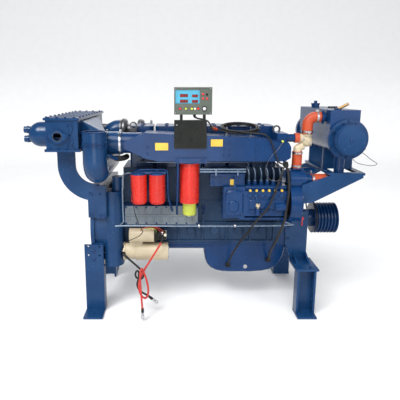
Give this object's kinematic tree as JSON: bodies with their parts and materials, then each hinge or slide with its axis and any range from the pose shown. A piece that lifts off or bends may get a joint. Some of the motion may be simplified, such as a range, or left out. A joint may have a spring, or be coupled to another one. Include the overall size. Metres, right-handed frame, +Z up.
{
  "type": "marine diesel engine",
  "caption": "In-line marine diesel engine on four legs, with intercooler, header tank heat exchanger, injection pump, filters, starter, V-belt pulley and instrument panel.",
  "frame": {"origin": "crankshaft axis at the flywheel housing face", "axes": "+X along the crankshaft towards the pulley end, +Z up, -Y towards the injection pump side"},
  "size_m": [1.9536, 0.8818, 1.3665],
  "materials": {
    "marine_blue": "gloss",
    "pale_blue": "gloss",
    "cast_grey": "satin",
    "steel": "satin",
    "dark_steel": "satin",
    "aluminium_cast": "matt",
    "filter_red": "gloss",
    "hose_orange": "satin",
    "cream": "satin",
    "black_paint": "satin",
    "panel_grey": "satin",
    "black_rubber": "satin",
    "cable_red": "satin",
    "brass": "satin",
    "button_red": "gloss",
    "button_green": "gloss",
    "button_cream": "gloss"
  },
  "bodies": {
    "engine": {"engine_block": "cast_grey", "cylinder_heads": "marine_blue", "rocker_covers": "marine_blue", "valve_gear": "steel", "pistons": "aluminium_cast", "connecting_rods": "dark_steel", "timing_case": "marine_blue", "oil_pan": "marine_blue", "flywheel_housing": "pale_blue", "legs": "pale_blue", "front_supports": "pale_blue", "intake_manifold": "marine_blue", "exhaust_manifold": "marine_blue", "turbo_housing": "cast_grey", "intercooler": "pale_blue", "charge_hose": "pale_blue", "air_elbow": "pale_blue", "cooler_bracket": "pale_blue", "exchanger": "marine_blue", "exchanger_caps": "pale_blue", "shelf_bracket": "pale_blue", "coolant_hoses": "hose_orange", "hose_clamps": "steel", "thermostat_housing": "cream", "coolant_pump": "marine_blue", "oil_filters": "filter_red", "fuel_filter": "filter_red", "filter_heads": "marine_blue", "injection_pump": "cast_grey", "fuel_pipes": "steel", "starter_motor": "cream", "alternator": "aluminium_cast", "drive_belt": "black_rubber", "lifting_eyes": "dark_steel", "panel_bracket": "black_paint", "panel_box": "panel_grey", "instrument_coil": "black_rubber", "harness": "black_rubber", "red_cable": "cable_red", "black_cable": "black_rubber"},
    "crank": {"crankshaft": "dark_steel", "flywheel": "dark_steel", "crank_pulley": "marine_blue"},
    "cam": {"camshaft": "dark_steel"},
    "pump_drive": {"pump_shaft": "dark_steel"},
    "coolant_impeller": {"coolant_rotor": "dark_steel"},
    "turbo_wheel": {"turbo_rotor": "steel"},
    "alternator_pulley": {"alternator_rotor": "dark_steel"},
    "filler_lid": {"filler_cap": "marine_blue"},
    "stick": {"dipstick": "brass"},
    "pinion": {"starter_pinion": "steel"},
    "throttle": {"throttle_lever": "steel"},
    "primer_knob": {"primer": "cream"},
    "cock": {"drain_cock": "button_red"},
    "key": {"key_switch": "steel"},
    "push_1": {"button_1": "button_red"},
    "push_2": {"button_2": "button_green"},
    "push_3": {"button_3": "button_green"},
    "push_4": {"button_4": "button_cream"},
    "push_5": {"button_5": "button_red"}
  },
  "joints": [
    {"name": "crank_spin", "type": "hinge", "parent": "engine", "child": "crank", "pos_m": [0.6, 0, 0], "axis": [1, 0, 0], "continuous": true},
    {"name": "cam_spin", "type": "hinge", "parent": "engine", "child": "cam", "pos_m": [0.6, -0.09198, 0.11079], "axis": [1, 0, 0], "continuous": true},
    {"name": "pump_spin", "type": "hinge", "parent": "engine", "child": "pump_drive", "pos_m": [1, -0.27, 0.18272], "axis": [1, 0, 0], "continuous": true},
    {"name": "coolant_spin", "type": "hinge", "parent": "engine", "child": "coolant_impeller", "pos_m": [1.2, -0.28078, 0.31668], "axis": [1, 0, 0], "continuous": true},
    {"name": "alternator_spin", "type": "hinge", "parent": "engine", "child": "alternator_pulley", "pos_m": [1.422, 0.21608, 0.1898], "axis": [1, 0, 0], "continuous": true},
    {"name": "turbo_spin", "type": "hinge", "parent": "engine", "child": "turbo_wheel", "pos_m": [0.16016, 0.20153, 0.56608], "axis": [1, 0, 0], "continuous": true},
    {"name": "filler_lift", "type": "slide", "parent": "engine", "child": "filler_lid", "axis": [0, 0, 1], "range_m": [0, 0.06]},
    {"name": "dipstick_pull", "type": "slide", "parent": "engine", "child": "stick", "axis": [0, 0, 1], "range_m": [0, 0.12]},
    {"name": "pinion_throw", "type": "slide", "parent": "engine", "child": "pinion", "axis": [-1, 0, 0], "range_m": [0, 0.024], "stiffness_N_per_m": 200, "springref_m": -0.01},
    {"name": "throttle_turn", "type": "hinge", "parent": "engine", "child": "throttle", "pos_m": [0.85, -0.344, 0.24183], "axis": [0, 1, 0], "range_deg": [0, 40], "stiffness_Nm_per_rad": 1, "springref_deg": -22.92},
    {"name": "primer_push", "type": "slide", "parent": "engine", "child": "primer_knob", "axis": [0, 0, -1], "range_m": [0, 0.01], "stiffness_N_per_m": 300, "springref_m": -0.005},
    {"name": "cock_turn", "type": "hinge", "parent": "engine", "child": "cock", "pos_m": [1.263, -0.282, 0.08072], "axis": [1, 0, 0], "range_deg": [0, 90]},
    {"name": "key_turn", "type": "hinge", "parent": "engine", "child": "key", "pos_m": [0.6715, -0.344, 0.72946], "axis": [0, 1, 0], "range_deg": [0, 90]},
    {"name": "button_1_press", "type": "slide", "parent": "engine", "child": "push_1", "axis": [0, 1, 0], "range_m": [0, 0.0015], "stiffness_N_per_m": 400, "springref_m": -0.001},
    {"name": "button_2_press", "type": "slide", "parent": "engine", "child": "push_2", "axis": [0, 1, 0], "range_m": [0, 0.0015], "stiffness_N_per_m": 400, "springref_m": -0.001},
    {"name": "button_3_press", "type": "slide", "parent": "engine", "child": "push_3", "axis": [0, 1, 0], "range_m": [0, 0.0015], "stiffness_N_per_m": 400, "springref_m": -0.001},
    {"name": "button_4_press", "type": "slide", "parent": "engine", "child": "push_4", "axis": [0, 1, 0], "range_m": [0, 0.0015], "stiffness_N_per_m": 400, "springref_m": -0.001},
    {"name": "button_5_press", "type": "slide", "parent": "engine", "child": "push_5", "axis": [0, 1, 0], "range_m": [0, 0.0015], "stiffness_N_per_m": 400, "springref_m": -0.001}
  ],
  "couplings": [
    {"joint": "cam_spin", "follows": "crank_spin", "ratio": -0.5},
    {"joint": "pump_spin", "follows": "crank_spin", "ratio": 0.5},
    {"joint": "coolant_spin", "follows": "crank_spin", "ratio": -1.25},
    {"joint": "alternator_spin", "follows": "crank_spin", "ratio": 2.7667}
  ]
}
